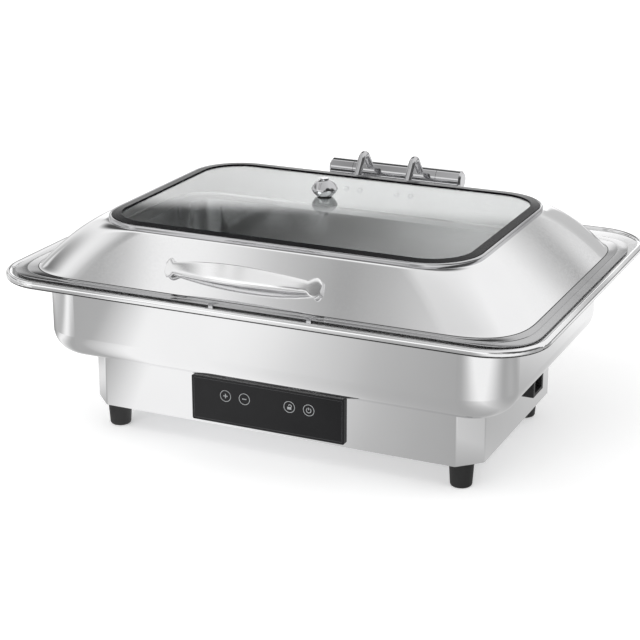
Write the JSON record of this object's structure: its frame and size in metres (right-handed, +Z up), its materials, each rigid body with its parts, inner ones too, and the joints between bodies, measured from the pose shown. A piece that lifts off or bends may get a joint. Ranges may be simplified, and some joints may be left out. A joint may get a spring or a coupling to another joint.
{
  "type": "electric chafing dish",
  "caption": "Electric food warmer: rectangular water pan on a footed heater base, lift-out food pan, hinged lid with a glass window, bow handle, vent knob and touch panel.",
  "frame": {"origin": "on the table, under the middle of the water pan's rim", "axes": "+X to the right along the rim, +Y from the front to the hinge at the back, +Z up"},
  "size_m": [0.624, 0.467, 0.2711],
  "materials": {
    "polished_steel": "mirror polished stainless sheet",
    "chrome": "polished",
    "zinc_steel": "zinc plated",
    "black_rubber": "matte",
    "gloss_black": "glossy",
    "black_plastic": "satin",
    "board_green": "satin",
    "brass_parts": "bright",
    "copper_parts": "enamelled winding",
    "heater_aluminium": "cast",
    "element_steel": "oxidised",
    "ceramic": "matte",
    "mineral_wool": "fibrous",
    "clear_glass": "clear, polished"
  },
  "bodies": {
    "base": {"base_casing": "polished_steel", "bottom_plate": "zinc_steel", "bottom_screws": "zinc_steel", "rubber_feet": "black_rubber", "foot_screws": "zinc_steel", "foot_nuts": "zinc_steel", "panel_bezel": "black_plastic", "touch_panel": "gloss_black", "touch_board": "board_green", "touch_springs": "brass_parts", "control_board": "board_green", "board_standoffs": "zinc_steel", "board_screws": "zinc_steel", "power_relay": "black_plastic", "transformer": "copper_parts", "filter_capacitors": "black_plastic", "power_inlet": "black_plastic", "inlet_pins": "brass_parts", "heating_plate": "heater_aluminium", "heating_element": "element_steel", "element_terminals": "ceramic", "insulation_pad": "mineral_wool", "heater_retainer": "zinc_steel", "heater_studs": "zinc_steel", "heater_nuts": "zinc_steel", "thermal_cutout": "ceramic", "temperature_sensor": "brass_parts", "water_pan": "polished_steel", "hinge_bracket": "chrome", "bracket_screws": "zinc_steel", "bracket_nuts": "zinc_steel", "hinge_pin": "zinc_steel", "hinge_end_caps": "chrome"},
    "lid": {"lid_shell": "polished_steel", "window_glass": "clear_glass", "window_seal": "black_rubber", "window_trim": "chrome", "vent_knob": "chrome", "knob_bolt": "zinc_steel", "knob_washers": "black_rubber", "knob_nut": "zinc_steel", "handle": "chrome", "handle_screws": "zinc_steel", "rest_tabs": "chrome", "left_arm": "chrome", "right_arm": "chrome", "arm_screws": "zinc_steel", "arm_nuts": "zinc_steel", "hinge_sleeve": "chrome", "damper_cartridges": "black_plastic"},
    "food_pan": {"food_pan": "polished_steel"}
  },
  "joints": [
    {"name": "lid_hinge", "type": "hinge", "parent": "base", "child": "lid", "pos_m": [-0.0115, 0.2195, 0.234], "axis": [-1, 0, 0], "range_deg": [0, 90]},
    {"name": "food_pan_lift", "type": "slide", "parent": "base", "child": "food_pan", "axis": [0, 0, 1], "range_m": [0, 0.008]}
  ]
}
